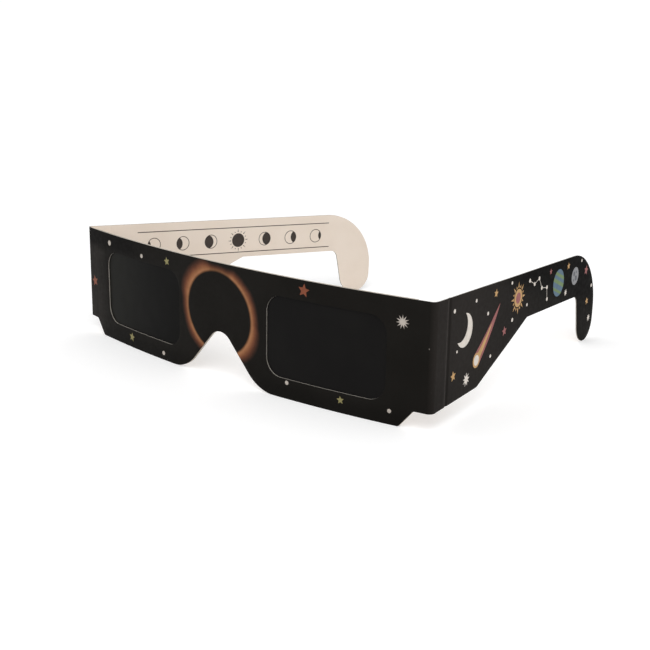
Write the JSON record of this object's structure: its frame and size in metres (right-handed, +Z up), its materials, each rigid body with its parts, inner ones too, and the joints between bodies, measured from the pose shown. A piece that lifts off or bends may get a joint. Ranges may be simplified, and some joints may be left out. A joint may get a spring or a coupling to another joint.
{
  "type": "eclipse glasses",
  "caption": "Folding card eclipse glasses with two dark film windows, a nose notch and ear hooks on creased temples.",
  "frame": {"origin": "on the ground, in the middle of the box round the whole part", "axes": "+X across the face towards the temple on the right of the picture, +Y back along the temples, +Z up"},
  "size_m": [0.1426, 0.1208, 0.035],
  "materials": {
    "printed_card": "satin black print on one side of a cream card",
    "cream_card": "matt uncoated card",
    "glue": "dry clear adhesive",
    "solar_film": "smooth dark film"
  },
  "bodies": {
    "front": {"front_card": "printed_card", "front_liner": "cream_card", "glue_layer": "glue", "film_right": "solar_film", "film_left": "solar_film", "fold_right": "printed_card", "fold_left": "printed_card"},
    "right_temple": {"temple_right": "printed_card"},
    "left_temple": {"temple_left": "printed_card"}
  },
  "joints": [
    {"name": "right_fold", "type": "hinge", "parent": "front", "child": "right_temple", "pos_m": [0.0697, -0.05173, 0.02], "axis": [0, 0, 1], "range_deg": [-86.5, 81.5]},
    {"name": "left_fold", "type": "hinge", "parent": "front", "child": "left_temple", "pos_m": [-0.0697, -0.05173, 0.02], "axis": [0, 0, -1], "range_deg": [-93, 71]}
  ]
}
